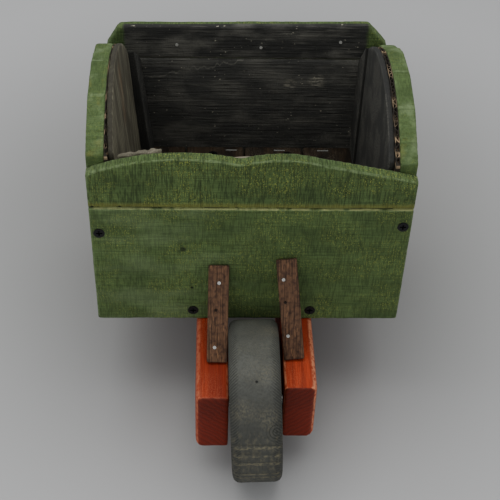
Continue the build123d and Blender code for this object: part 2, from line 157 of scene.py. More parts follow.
# --- Sizes and colours that can be changed ---
class BoardSettings(bpy.types.PropertyGroup):
    """Green boards of the box."""

    stain: colour("Stain", "#5a7040", "Green stain where it lies evenly")
    deep_stain: colour("Deep stain", "#3a4c28", "Green stain that has soaked in")
    bare_fibre: colour("Bare fibre", "#8f9a4a", "Raised fibres that took little stain")
    resin: colour("Resin", "#84803a", "Yellow wood along the joint")
    # Haze is also the colour of painted highlights: along the green boards' arrises, on the side boards'
    # upward-facing tops and beside the ridges between their flats.
    haze: colour("Haze", "#7f9268", "Chalky film on the stain")
    rim: colour("Rim", "#b4ba7c", "Pale rim along the joint")
    skin: length("Skin", 1.3, "Size of the faces of a rebuilt board")
    wobble: length("Wobble", 0.35, "How far a board's faces wander from flat")
    chip: length("Chip", 1.3, "Depth of the chips along a board's edges")
    facet: length("Facet", 36.0, "Length of the flats left by cutting the arched sides")


class InsideSettings(bpy.types.PropertyGroup):
    """Linings, posts and the inside of the back board."""

    black: colour("Black stain", "#3e3e3b", "Black stain inside the box")
    black_worn: colour("Worn black", "#77756c", "Black stain where it is dusty or worn")
    dust: colour("Dust", "#b9b4a0", "Specks of dust and bare wood")
    grey: colour("Grey lining", "#8e8a74", "Weathered lining on the left")
    grey_dark: colour("Grey lining, dark", "#5c584a", "Dark grain of the weathered lining")
    orange: colour("Orange streak", "#8a5a2c", "Resin streak on the left lining")
    torn: colour("Torn wood", "#9c9480", "Fresh torn edge of the front lining")
    paper: colour("Paper", "#a08a6c", "Cut edge of the corrugated cardboard")
    floor: colour("Floor", "#3b2e1f", "Soiled pine floor boards")


class RunningSettings(bpy.types.PropertyGroup):
    """Shafts, legs, braces and wheel."""

    orange: colour("Orange stain", "#b83f1a", "Orange stain on long grain")
    orange_deep: colour("Deep orange", "#781f09", "Orange stain that has soaked in")
    # Lighter orange for bare flecks and the rounded arrises, where it is both stain rubbed thin and a
    # painted highlight.
    orange_worn_and_lit: colour("Worn arris", "#e0926a", "Orange stain rubbed thin on the rounded arrises")
    brown: colour("Brown stain", "#4f382c", "Brown stain of the brace strips")
    brown_dark: colour("Deep brown", "#35251d", "Brown stain in the grain")
    brown_light: colour("Worn brown", "#98704f", "Brown stain rubbed thin")
    grey: colour("Grey stain", "#585953", "Grey stain of the wheel")
    grey_dark: colour("Grey rings", "#42433e", "Growth rings of the wheel")
    tread_bare: colour("Bare tread", "#8d8467", "Bare wood where the tread is worn")
    wear_depth: length("Wear depth", 0.7, "Depth of the worn grooves across the tread")


class StageSettings(bpy.types.PropertyGroup):
    """Floor, lights and camera."""

    floor: colour("Floor", "#bfbfbf", "Pale seamless paper")
    # The paper's colour near the barrow: painted shade, blended out to the pale floor colour further away.
    floor_painted_shade: colour("Floor, middle", "#8f8f8d", "Paper under and beside the barrow")
    lens: FloatProperty(name="Lens", description="Focal length", default=77.95, min=10, unit="CAMERA")
    distance: length("Distance", 861.6, "Distance from the camera to the point it looks at")
    look_ahead: length("Look ahead", 86.5, "How far in front of the middle the camera looks")
    look_right: length("Look right", 1.0, "How far to the right of the middle the camera looks")
    elevation: FloatProperty(
        name="Elevation",
        description="Height of the camera above the horizon",
        default=math.radians(42.16),
        subtype="ANGLE",
    )
    turn: FloatProperty(
        name="Turn", description="Camera's turn to the right", default=math.radians(2.66), subtype="ANGLE"
    )
    roll: FloatProperty(
        name="Roll", description="Camera's roll", default=math.radians(2.03), subtype="ANGLE"
    )


# --- Rebuilding a board with an even skin ---
def finish_piece(obj, body, material):
    """Give a finished piece its material and its body."""
    dress(obj, material)
    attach(obj, body)


def reskin(node, voxel):
    """A new object with the node's solid, covered in even faces of about the voxel's size."""
    mesh = frame["nodes"][node].data.copy()
    shell = bmesh.new()
    shell.from_mesh(mesh)
    bmesh.ops.remove_doubles(shell, verts=shell.verts, dist=0.001 * MM)
    shell.to_mesh(mesh)
    shell.free()
    draft = bpy.data.objects.new(node + "_draft", mesh)
    bpy.context.scene.collection.objects.link(draft)
    remesh = draft.modifiers.new("Even skin", "REMESH")
    remesh.mode = "VOXEL"
    remesh.voxel_size = voxel
    remesh.use_smooth_shade = True
    evaluated = draft.evaluated_get(bpy.context.evaluated_depsgraph_get())
    skinned = bpy.data.meshes.new_from_object(evaluated)
    bpy.data.objects.remove(draft)
    obj = bpy.data.objects.new(node + "_finished", skinned)
    bpy.context.scene.collection.objects.link(obj)
    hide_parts(node)
    return obj


def reshape(obj, move, passes=2):
    """Smooth the skin, then move each vertex by the function's vector from its place and normal."""
    skin = bmesh.new()
    skin.from_mesh(obj.data)
    for _ in range(passes):
        bmesh.ops.smooth_vert(
            skin, verts=skin.verts, factor=0.5, use_axis_x=True, use_axis_y=True, use_axis_z=True
        )
    skin.normal_update()
    shifts = [move(vert.co, vert.normal) for vert in skin.verts]
    for vert, shift in zip(skin.verts, shifts):
        vert.co += shift
    skin.to_mesh(obj.data)
    skin.free()


def weathering(seed, wobble, chip):
    """A function that wears a board: faces wander inwards, and edges lose small chips."""
    offset = Vector((seed, 2.3 * seed, 0.7 * seed))
    warp_size, fibre_size, chip_size = 28 * MM, 5 * MM, 7 * MM
    flat = 0.92  # a normal's largest part on a face; below it the skin turns over an edge

    def wear(place, normal):
        broad = 0.5 + 0.5 * noise.noise(place / warp_size + offset)
        fine = 0.5 + 0.5 * noise.noise(place / fibre_size + offset)
        edge = max(0.0, flat - max(abs(part) for part in normal))
        nibble = max(0.0, noise.noise(place / chip_size - offset) + 0.15)
        return -(wobble * broad + 0.2 * wobble * fine + 3 * chip * edge * nibble) * normal

    return wear


def worn_board(node, slot, material, voxel, seed, wobble, chip, extra=None, passes=2):
    """A board rebuilt from its node, worn, and moved further by an extra function if there is one."""
    obj = reskin(node, voxel)
    wear = weathering(seed, wobble, chip)
    reshape(obj, (lambda p, n: wear(p, n) + extra(p, n)) if extra else wear, passes)
    finish_piece(obj, BARROW, material)


# --- Stained wood ---
def stained_wood(
    name,
    stain,
    deep,
    bare,
    pith,
    turn=(0, 0, 0),
    ring=2.4,
    ring_strength=0.35,
    fibre=0.9,
    blotch=24.0,
    blotch_strength=1.0,
    saw=0.0,
    fleck=0.5,
    arris=0.0,
    arris_colour=None,
    relief=0.25,
    roughness=0.82,
):
    """A stained softwood: returns its material, tree, shader, and its colour and height so far.

    The wood's own frame has X along the grain and its origin on the pith; sizes are in millimetres.
    """
    material, tree, shader, place = new_material(name)
    wood = add(
        tree, "Mapping", {"Vector": place, "Location": pith, "Rotation": turn}, vector_type="TEXTURE"
    )

    def spread(along, across, low, high, top=1.0, detail=3.0):
        """Noise drawn out along or across the grain, between two levels; sizes are in millimetres."""
        size = (1 / (along * MM), 1 / (across * MM), 1 / (across * MM))
        stretched = add(tree, "Mapping", {"Vector": wood, "Scale": size})
        cloud = add(tree, "TexNoise", {"Vector": stretched, "Scale": 1.0, "Detail": detail})
        return add(
            tree, "MapRange", {"Value": cloud, "From Min": low, "From Max": high, "To Max": top}, **SMOOTH
        )

    patches = spread(blotch * 2.6, blotch, 0.36, 0.66, blotch_strength, 2.0)
    streaks = spread(fibre * 30, fibre, 0.42, 0.68)
    slow_along = add(tree, "Mapping", {"Vector": wood, "Scale": (0.05, 1, 1)})
    rings = add(
        tree,
        "TexWave",
        {
            "Vector": slow_along,
            "Scale": WAVE_PERIOD / (ring * MM),
            "Distortion": 2.2,
            "Detail": 2.0,
            "Detail Scale": 0.35,
        },
        out=1,
        wave_type="RINGS",
        rings_direction="X",
    )
    late = add(tree, "Math", {0: rings, 1: 2.2}, operation="POWER")
    late = add(tree, "Math", {0: late, 1: ring_strength}, operation="MULTIPLY")
    faint_streaks = add(tree, "Math", {0: streaks, 1: 0.5}, operation="MULTIPLY")
    tone = layered(tree, stain, (patches, deep), (late, deep), (faint_streaks, deep))
    height = add(tree, "Math", {0: streaks, 1: -0.6}, operation="MULTIPLY")
    height = add(tree, "Math", {0: rings, 1: -0.3, 2: height}, operation="MULTIPLY_ADD")
    flecks = spread(1.1, 0.8, 0.46, 0.62, detail=2.0)
    where = spread(blotch * 1.5, blotch * 1.2, 0.38, 0.6, fleck, 2.0)
    if saw:
        cuts = spread(0.75, 9.0, 0.45, 0.62, saw)
        tone = layered(tree, tone, (cuts, dim(deep, 0.55)))
        height = add(tree, "Math", {0: cuts, 1: -0.9, 2: height}, operation="MULTIPLY_ADD")
        teeth = spread(0.75, 5.0, 0.56, 0.4)
        flecks = add(tree, "Math", {0: flecks, 1: teeth}, operation="MULTIPLY")
    bare_spots = add(tree, "Math", {0: flecks, 1: where}, operation="MULTIPLY")
    tone = layered(tree, tone, (bare_spots, bare))
    height = add(tree, "Math", {0: bare_spots, 1: 0.5, 2: height}, operation="MULTIPLY_ADD")
    # Rounded arrises take the arris colour, broken by noise: stain rubbed thin, and where that colour is
    # lighter than the stain, also a painted highlight along the edge.
    if arris:
        facing = add(tree, "TexCoord", out=1)
        squared = add(tree, "VectorMath", {0: facing, 1: facing}, operation="MULTIPLY")
        flatness = add(tree, "VectorMath", {0: squared, 1: squared}, out="Value", operation="DOT_PRODUCT")
        edge = add(
            tree,
            "MapRange",
            {"Value": flatness, "From Min": 0.94, "From Max": 0.6, "To Max": arris},
            **SMOOTH,
        )
        rubbed = add(tree, "Math", {0: edge, 1: spread(3.0, 3.0, 0.3, 0.6)}, operation="MULTIPLY")
        tone = layered(tree, tone, (rubbed, arris_colour or bare))
    shader.inputs["Roughness"].default_value = roughness
    shader.inputs["Specular IOR Level"].default_value = 0.3
    return {
        "material": material,
        "tree": tree,
        "shader": shader,
        "tone": tone,
        "height": height,
        "place": place,
        "relief": relief,
        "spread": spread,
    }


def complete(kit):
    """Link a wood's colour and relief to its shader, and return the material."""
    tree = kit["tree"]
    bump = add(tree, "Bump", {"Height": kit["height"], "Strength": 1.0, "Distance": kit["relief"] * MM})
    tree.links.new(kit["tone"], kit["shader"].inputs["Base Color"])
    tree.links.new(bump, kit["shader"].inputs["Normal"])
    return kit["material"]


def band(kit, value, low, high, soft):
    """1 between two values and 0 outside, with soft ends and a ragged line.

    The value is a socket, or the letter of an axis for the place along it.
    """
    tree = kit["tree"]
    if isinstance(value, str):
        value = add(tree, "SeparateXYZ", {"Vector": kit["place"]}, out=value)
    ragged = add(tree, "TexNoise", {"Vector": kit["place"], "Scale": 1 / (6 * MM), "Detail": 3.0})
    jitter = add(tree, "Math", {0: ragged, 1: 0.5}, operation="SUBTRACT")
    value = add(tree, "Math", {0: jitter, 1: 2 * soft, 2: value}, operation="MULTIPLY_ADD")
    rise = add(
        tree, "MapRange", {"Value": value, "From Min": low - soft, "From Max": low + soft}, **SMOOTH
    )
    fall = add(
        tree,
        "MapRange",
        {"Value": value, "From Min": high - soft, "From Max": high + soft, "To Min": 1.0, "To Max": 0.0},
        **SMOOTH,
    )
    return add(tree, "Math", {0: rise, 1: fall}, operation="MULTIPLY")


def tint(kit, mask, shade, strength=1.0):
    """Lay a colour over the wood where the mask is 1."""
    if strength < 1:
        mask = add(kit["tree"], "Math", {0: mask, 1: strength}, operation="MULTIPLY")
    kit["tone"] = layered(kit["tree"], kit["tone"], (mask, shade))


def overlap(kit, *masks):
    """Where all the masks are 1."""
    shared = masks[0]
    for mask in masks[1:]:
        shared = add(kit["tree"], "Math", {0: shared, 1: mask}, operation="MULTIPLY")
    return shared


def spot(kit, centre, radius, soft=0.4):
    """1 within a radius of a place on the piece, with a soft rim."""
    away = add(kit["tree"], "VectorMath", {0: kit["place"], 1: centre}, out="Value", operation="DISTANCE")
    return add(
        kit["tree"],
        "MapRange",
        {"Value": away, "From Min": radius * (1 + soft), "From Max": radius * (1 - soft)},
        **SMOOTH,
    )


def dented(kit, centre, radius, shade, depth=1.0, strength=0.9):
    """A small hole or dent of one colour."""
    mask = spot(kit, centre, radius)
    tint(kit, mask, shade, strength)
    kit["height"] = add(
        kit["tree"], "Math", {0: mask, 1: -3 * depth, 2: kit["height"]}, operation="MULTIPLY_ADD"
    )


# --- Green boards: rough-sawn pine with a thin green stain, matt and dry ---
def green_pine(name, settings, pith, turn=(0, 0, 0), saw=0.5, fleck=0.6, arris=0.5):
    """Rough-sawn pine under a semi-transparent stain: saw marks show as rows of bare fibres."""
    return stained_wood(
        name,
        settings.stain,
        settings.deep_stain,
        settings.bare_fibre,
        pith,
        turn,
        ring=3.4,
        ring_strength=0.15,
        fibre=0.8,
        blotch=22.0,
        blotch_strength=0.5,
        saw=saw,
        fleck=fleck,
        arris=arris,
        # The arrises take the haze colour: rubbed stain and a painted highlight.
        arris_colour=settings.haze,
        relief=0.45,
        roughness=0.85,
    )


def green_board(node, kit, settings, seed, extra=None):
    """A worn green board, from its node, its wood and the settings of all green boards."""
    sizes = (settings.skin, seed, settings.wobble, settings.chip)
    worn_board(node, "green_pine", complete(kit), *sizes, extra)


class BARROW_OT_end_boards(bpy.types.Operator):
    """Build the front and back boards, two planks each"""

    bl_idname = "barrow.end_boards"
    bl_label = "End boards"
    # Places are millimetres in from the board's left edge, and below the joint of its two planks.
    # Knot and nail hole of the front board: place, radius in millimetres, and strength.
    face_marks = ((69, 40, 1.9, 0.75), (75.5, 80, 1.1, 0.9))
    joint_marks = (3.5, 23.5)  # dents just above the front joint
    scratches = (82, 159, 219)  # upright scratches on the upper front plank
    haze_reach = 100  # how far in the chalky film goes
    tear_slope, tear_above_joint = 0.208, 1.6  # the back board's torn grain, at the board's middle
    tear_ends = (27, 122)
    # Rubbed spots of the back board: place, and radius in millimetres.
    rubbed_spots = ((159, 26, 5), (182, 22, 6), (27, 67, 3), (218, 77, 3))

    def execute(self, context):
        settings = context.scene.barrow_boards
        inside = context.scene.barrow_inside
        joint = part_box("front_plank_lower")[1].z
        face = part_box("front_plank_lower")[0].y
        shade = dim(settings.deep_stain, 0.15)
        for seed, node in enumerate(("front_plank_lower", "front_plank_upper"), 1):
            low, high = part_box(node)
            upper = node == "front_plank_upper"
            kit = green_pine(
                node + "_green_pine",
                settings,
                (0, high.y + 0.02, low.z - 0.03 * seed),
                saw=0.7 if upper else 0.5,
                fleck=1.0 if upper else 0.7,
            )
            if upper:
                yellow = band(kit, "Z", joint - 5 * MM, joint + 5 * MM, 2 * MM)
                tint(kit, yellow, settings.resin, 0.45)
                gap = overlap(
                    kit,
                    band(kit, "Z", joint - 5 * MM, joint + 1.8 * MM, 0.5 * MM),
                    kit["spread"](12.0, 60.0, 0.46, 0.54),
                )
                tint(kit, gap, shade, 0.85)
                for inward in self.scratches:
                    start = low.x + inward * MM
                    tint(kit, band(kit, "X", start, start + 0.7 * MM, 0.35 * MM), shade, 0.35)
            else:
                rim = band(kit, "Z", joint - 1.1 * MM, joint + 5 * MM, 0.3 * MM)
                tint(kit, overlap(kit, rim, kit["spread"](9.0, 60.0, 0.34, 0.56)), settings.rim, 0.9)
                for inward, below, radius, strength in self.face_marks:
                    place = (low.x + inward * MM, face, joint - below * MM)
                    dented(kit, place, radius * MM, shade, strength=strength)
                haze = overlap(
                    kit,
                    band(kit, "X", low.x - 1, low.x + self.haze_reach * MM, 40 * MM),
                    kit["spread"](50.0, 16.0, 0.4, 0.7),
                )
                tint(kit, haze, settings.haze, 0.3)
            for inward in self.joint_marks:
                dented(kit, (low.x + inward * MM, face, joint + 1.5 * MM), 1.1 * MM, shade)
            green_board(node, kit, settings, 3.1 * seed)
        back_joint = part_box("back_plank_lower")[1].z
        for seed, node in enumerate(("back_plank_lower", "back_plank_upper"), 1):
            low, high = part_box(node)
            pith = (0, high.y + 0.03, low.z - 0.03 * seed)
            kit = green_pine(node + "_green_pine", settings, pith, arris=0.2)
            tree, spread = kit["tree"], kit["spread"]
            depth = 0.65 if node == "back_plank_upper" else 1.15
            worn = overlap(kit, spread(26.0, 1.6, 0.5, 0.8, 0.7), spread(45.0, 14.0, 0.4, 0.62))
            specks = overlap(kit, spread(3.6, 2.2, 0.66, 0.71), spread(18.0, 18.0, 0.5, 0.6))
            black = layered(
                tree,
                dim(inside.black, depth),
                (worn, inside.black_worn),
                (spread(36.0, 20.0, 0.42, 0.68, 0.5), inside.black_worn),
                (spread(40.0, 0.9, 0.56, 0.64, 0.7), dim(inside.black, 0.2)),
                (specks, inside.dust),
            )
            if node == "back_plank_lower":
                uphill = {0: kit["place"], 1: (-self.tear_slope, 0, 1)}
                level = add(tree, "VectorMath", uphill, out="Value", operation="DOT_PRODUCT")
                ragged = {0: spread(7.0, 60.0, 0.3, 0.7), 1: 5 * MM, 2: level}
                level = add(tree, "Math", ragged, operation="MULTIPLY_ADD")
                start = back_joint + self.tear_above_joint * MM
                left, right = (low.x + end * MM for end in self.tear_ends)
                tear = overlap(
                    kit,
                    band(kit, level, start, start + 1.3 * MM, 0.7 * MM),
                    band(kit, "X", left, right, 6 * MM),
                    spread(10.0, 10.0, 0.3, 0.6, 0.8),
                )
                black = layered(tree, black, (tear, inside.black_worn))
                for inward, below, radius in self.rubbed_spots:
                    place = (low.x + inward * MM, low.y, back_joint - below * MM)
                    rubbed = spot(kit, place, radius * MM, 0.7)
                    rubbed = overlap(kit, rubbed, spread(6.0, 1.5, 0.4, 0.65, 0.55))
                    black = layered(tree, black, (rubbed, inside.dust))
            across = band(kit, "X", low.x + 15 * MM, high.x - 17 * MM, 2 * MM)
            reach = 4.5 if node == "back_plank_upper" else 2.2
            inner = band(kit, "Y", low.y - 1, low.y + reach * MM, 0.4 * MM)
            tint(kit, overlap(kit, across, inner), black)
            seam = band(kit, "Z", back_joint - 0.3 * MM, back_joint + 2.2 * MM, 0.7 * MM)
            tint(kit, overlap(kit, across, inner, seam), inside.black_worn, 0.7)
            green_board(node, kit, settings, 5.7 * seed)
        return {"FINISHED"}


def facet_corners(low, high, facet):
    """Where the flats of an arched board meet along the barrow, with both ends."""
    count = max(2, round((high.y - low.y) / facet))
    return [low.y + (high.y - low.y) * index / count for index in range(count + 1)]


def faceting(node, facet):
    """A function that flattens a board's arched top into chords, as cut by hand."""
    low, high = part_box(node)
    step = 2 * MM
    reach = 14 * MM  # how far below the arch its skin still follows the flats
    crest = {}
    for vertex in frame["nodes"][node].data.vertices:
        column = round((vertex.co.y - low.y) / step)
        crest[column] = max(crest.get(column, low.z), vertex.co.z)
    columns = sorted(crest)

    def top_at(y):
        """The arched edge's height at a place along the board."""
        wanted = (y - low.y) / step
        before = max((c for c in columns if c <= wanted), default=columns[0])
        after = min((c for c in columns if c >= wanted), default=columns[-1])
        share = (wanted - before) / (after - before) if after > before else 0
        return crest[before] + share * (crest[after] - crest[before])

    corners = facet_corners(low, high, facet)
    count = len(corners) - 1

    def flatten(place, normal):
        index = min(count - 1, max(0, int((place.y - low.y) / (high.y - low.y) * count)))
        start, end = corners[index], corners[index + 1]
        share = (place.y - start) / (end - start)
        chord = top_at(start) * (1 - share) + top_at(end) * share
        top = top_at(place.y)
        below = max(0.0, 1 - (top - place.z) / reach)
        return Vector((0, 0, -max(0.0, top - chord) * min(1.0, below)))

    return flatten


class BARROW_OT_side_boards(bpy.types.Operator):
    """Build the two arched side boards with their hand-cut flats"""

    bl_idname = "barrow.side_boards"
    bl_label = "Side boards"

    def execute(self, context):
        settings = context.scene.barrow_boards
        for seed, node in enumerate(("side_board_left", "side_board_right"), 1):
            low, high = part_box(node)
            middle = (low + high) / 2
            kit = green_pine(
                node + "_green_pine",
                settings,
                (middle.x, middle.y, low.z - 0.05),
                (0, 0, math.pi / 2),
                saw=0.2,
                fleck=0.35,
                arris=0.12,
            )
            # Upward-facing parts of the arched tops get a lighter haze, a painted highlight, and yellow
            # resin blotches.
            facing = add(kit["tree"], "SeparateXYZ", {"Vector": add(kit["tree"], "TexCoord", out=1)}, out=2)
            top = add(kit["tree"], "MapRange", {"Value": facing, "From Min": 0.1, "From Max": 0.4})
            tint(kit, overlap(kit, top, kit["spread"](16.0, 14.0, 0.46, 0.68)), settings.haze, 0.5)
            tint(kit, overlap(kit, top, kit["spread"](22.0, 12.0, 0.56, 0.72)), settings.resin, 0.35)
            # Along each corner between the flats: a painted shade line on the ridge, and a painted
            # highlight just past it.
            for corner in facet_corners(low, high, settings.facet)[1:-1]:
                line = band(kit, "Y", corner - 0.3 * MM, corner + 0.3 * MM, 0.5 * MM)
                tint(kit, overlap(kit, top, line), settings.deep_stain, 0.55)
                ridge_highlight = band(kit, "Y", corner + 1 * MM, corner + 3 * MM, 1.2 * MM)
                ridge_highlight = overlap(kit, ridge_highlight, top, kit["spread"](5.0, 5.0, 0.4, 0.6))
                tint(kit, ridge_highlight, settings.haze, 0.5)
            green_board(node, kit, settings, 7.3 * seed, faceting(node, settings.facet))
        return {"FINISHED"}


def cut_edge(kit):
    """1 on the sawn edges of an upright board that stands across X, and 0 on its two faces."""
    facing = add(kit["tree"], "SeparateXYZ", {"Vector": add(kit["tree"], "TexCoord", out=1)})
    away = add(kit["tree"], "Math", {0: facing}, operation="ABSOLUTE")
    return add(kit["tree"], "MapRange", {"Value": away, "From Min": 0.85, "From Max": 0.5})


# --- Inside of the box ---
class BARROW_OT_linings(bpy.types.Operator):
    """Build the linings and corner posts inside the box"""

    bl_idname = "barrow.linings"
    bl_label = "Linings and posts"

    def execute(self, context):
        inside = context.scene.barrow_inside
        upright = (0, -math.pi / 2, 0)
        left_low, left_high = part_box("lining_left")
        # Weathered pine: grey and brown streaks along the upright grain, dry and matt.
        kit = stained_wood(
            "weathered_pine_lining",
            inside.grey,
            inside.grey_dark,
            inside.torn,
            (left_low.x - 0.04, 0, left_low.z),
            upright,
            ring=5.0,
            ring_strength=0.8,
            fibre=1.4,
            blotch=14.0,
            fleck=0.15,
            arris=0.9,
            arris_colour=inside.grey_dark,
            relief=0.3,
        )
        depth = (left_low.y + left_high.y) / 2
        streak = band(kit, "Y", depth + 2 * MM, depth + 14 * MM, 8 * MM)
        high_up = band(kit, "Z", left_high.z - 60 * MM, left_high.z - 12 * MM, 8 * MM)
        resin = overlap(kit, streak, high_up, kit["spread"](40.0, 3.0, 0.35, 0.65))
        tint(kit, resin, inside.orange, 0.5)
        tint(kit, cut_edge(kit), dim(inside.grey_dark, 0.3), 0.85)
        worn_board("lining_left", "weathered_lining", complete(kit), 1.2 * MM, 11.0, 0.2 * MM, 0.8 * MM)

        # Pine under black stain, rubbed a little grey along the upright grain.
        kit = stained_wood(
            "black_stained_lining",
            inside.black,
            inside.black,
            inside.black_worn,
            (left_high.x + 0.3, 0, left_low.z),
            upright,
            ring=6.0,
            fibre=1.2,
            blotch=16.0,
            fleck=0.8,
            relief=0.4,
        )
        tint(kit, cut_edge(kit), dim(inside.black, 0.4), 0.8)
        black = complete(kit)
        worn_board("lining_right", "weathered_lining", black, 1.2 * MM, 13.0, 0.2 * MM, 0.8 * MM)
        for seed, node in enumerate(("corner_post_left", "corner_post_right")):
            worn_board(node, "black_post", black, 1.0 * MM, 15.0 + seed, 0.2 * MM, 0.8 * MM)
        kit = stained_wood(
            "torn_pine_lining",
            inside.torn,
            inside.grey_dark,
            inside.torn,
            (0, left_low.y, left_low.z - 0.02),
            fibre=1.0,
            relief=0.3,
        )
        slat_low, slat_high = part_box("lining_front")

        def splinter(place, normal):
            """Tear the slat's upper edge into short splinters."""
            near_top = max(0.0, 1 - (slat_high.z - place.z) / (9 * MM))
            torn = noise.noise(Vector((place.x / (4.5 * MM), place.y / (3 * MM), 4.0)))
            thin = noise.noise(Vector((place.x / (4 * MM), place.z / (3 * MM), 9.0)))
            return near_top * Vector((0, 1.2 * MM * thin, -3.2 * MM * max(0.0, torn + 0.25)))

        torn_pine = complete(kit)
        worn_board("lining_front", "floor_pine", torn_pine, 0.8 * MM, 17.0, 0.2 * MM, 0.6 * MM, splinter)
        return {"FINISHED"}


class BARROW_OT_cardboard(bpy.types.Operator):
    """Finish the corrugated cardboard between the side boards and the linings"""

    bl_idname = "barrow.cardboard"
    bl_label = "Cardboard"

    def execute(self, context):
        inside = context.scene.barrow_inside
        # Kraft paper: brown, matt, with short fibres. Near-black bands, one per flute, are painted shade in
        # the open cells.
        material, tree, shader, place = new_material("kraft_corrugated_cardboard")
        fibres = add(tree, "TexNoise", {"Vector": place, "Scale": 1 / (1.2 * MM), "Detail": 4.0})
        dirt = add(tree, "TexNoise", {"Vector": place, "Scale": 1 / (14 * MM), "Detail": 2.0})
        spread = add(tree, "MapRange", {"Value": dirt, "From Min": 0.44, "From Max": 0.7})
        dark = dim(inside.paper, 0.06)
        cells = add(
            tree,
            "TexWave",
            {"Vector": place, "Scale": WAVE_PERIOD / (6.4 * MM), "Distortion": 0.4},
            out=1,
            bands_direction="Z",
        )
        painted_flute_shade = add(tree, "MapRange", {"Value": cells, "From Min": 0.85, "From Max": 0.6})
        tone = layered(tree, inside.paper, (spread, dark), (painted_flute_shade, dark))
        tree.links.new(tone, shader.inputs["Base Color"])
        bump = add(tree, "Bump", {"Height": fibres, "Distance": 0.1 * MM})
        tree.links.new(bump, shader.inputs["Normal"])
        shader.inputs["Roughness"].default_value = 0.9
        for node in ("cardboard_left", "cardboard_right"):
            dress(frame["nodes"][node], material)
        return {"FINISHED"}


class BARROW_OT_floor(bpy.types.Operator):
    """Build the floor boards and the bearers under them"""

    bl_idname = "barrow.floor_boards"
    bl_label = "Floor boards"

    def execute(self, context):
        inside = context.scene.barrow_inside
        low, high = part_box("floor_board_1")
        # Bare pine, darkened by soil in the open grain.
        dirt = dim(inside.floor, 0.25)
        kit = stained_wood(
            "soiled_pine_floor",
            inside.floor,
            dirt,
            inside.torn,
            (low.x, 0, low.z - 0.03),
            (0, 0, math.pi / 2),
            ring=3.0,
            blotch=10.0,
            fleck=0.12,
        )
        long_grain = complete(kit)
        for number in range(1, 5):
            node = f"floor_board_{number}"
            worn_board(node, "floor_pine", long_grain, 1.6 * MM, 20.0 + number, 0.2 * MM, 0.8 * MM)
        kit = stained_wood(
            "soiled_pine_bearer", inside.floor, dirt, inside.torn, (0, low.y, low.z - 0.05), blotch=12.0
        )
        across = complete(kit)
        for seed, node in enumerate(("bearer_front", "bearer_rear")):
            worn_board(node, "floor_pine", across, 1.6 * MM, 30.0 + seed, 0.2 * MM, 0.8 * MM)
        return {"FINISHED"}


# --- Shafts, legs, braces and wheel ---
def orange_wood(name, running, pith, turn, depth=1.0, arris=0.5):
    """Planed softwood under an orange-red stain, a little glossier than the sawn boards."""
    return stained_wood(
        name,
        dim(running.orange, depth),
        running.orange_deep,
        running.orange_worn_and_lit,
        pith,
        turn,
        ring=2.8,
        ring_strength=0.5,
        fibre=0.8,
        blotch=20.0,
        blotch_strength=0.6,
        fleck=0.12,
        arris=arris,
        relief=0.25,
        roughness=0.62,
    )


class BARROW_OT_shafts(bpy.types.Operator):
    """Build the two shafts, with end grain at the front and handles at the rear"""

    bl_idname = "barrow.shafts"
    bl_label = "Shafts"

    def execute(self, context):
        running = context.scene.barrow_running
        turn = (0, 0, math.pi / 2)
        for seed, (node, side) in enumerate((("shaft_left", -1), ("shaft_right", 1))):
            low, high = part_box(node)
            pith = ((low.x + high.x) / 2 + side * 0.03, 0, low.z - 0.02)
            # The left shaft is a darker copy of the same stain, and the right shaft's rounded arrises carry
            # more painted highlight than the left's.
            depth = 0.76 if side < 0 else 1.0
            arris = 0.35 if side < 0 else 0.8
            kit = orange_wood(node + "_orange_softwood", running, pith, turn, depth, arris)
            end = band(kit, "Y", low.y - 1, low.y + 1.2 * MM, 0.4 * MM)
            tint(kit, end, running.orange_deep, 0.9)
            diagonal = add(
                kit["tree"],
                "Mapping",
                {"Vector": kit["place"], "Rotation": (0, side * 0.7, 0), "Scale": (1, 0.05, 1)},
            )
            arcs = add(
                kit["tree"],
                "TexWave",
                {"Vector": diagonal, "Scale": WAVE_PERIOD / (4.2 * MM), "Distortion": 6.0, "Detail": 2.0},
                out=1,
                bands_direction="Z",
            )
            tint(kit, overlap(kit, end, arcs), dim(running.orange_deep, 0.3), 0.4)
            upper = band(kit, "Z", high.z - 22 * MM, high.z + 1, 9 * MM)
            tint(kit, overlap(kit, end, upper), dim(running.orange_deep, 0.25), 0.35)
            worn_board(node, "orange_shaft", complete(kit), 1.5 * MM, 40.0 + seed, 0.2 * MM, 0.5 * MM)
        kit = orange_wood("plug_orange_softwood", running, (0, 0, 0), turn)
        dress(frame["nodes"]["axle_plugs"], complete(kit))
        return {"FINISHED"}


class BARROW_OT_legs(bpy.types.Operator):
    """Build the legs and the stretcher between them"""

    bl_idname = "barrow.legs"
    bl_label = "Legs"

    def execute(self, context):
        running = context.scene.barrow_running
        low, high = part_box("leg_left")
        kit = orange_wood(
            "leg_orange_softwood", running, (low.x - 0.03, low.y - 0.02, 0), (0, -math.pi / 2, 0)
        )
        upright = complete(kit)
        for seed, node in enumerate(("leg_left", "leg_right")):
            worn_board(node, "orange_shaft", upright, 1.3 * MM, 50.0 + seed, 0.2 * MM, 0.7 * MM)
        kit = orange_wood("stretcher_orange_softwood", running, (0, low.y - 0.02, -0.02), (0, 0, 0))
        worn_board("leg_stretcher", "orange_shaft", complete(kit), 1.3 * MM, 55.0, 0.2 * MM, 0.7 * MM)
        return {"FINISHED"}


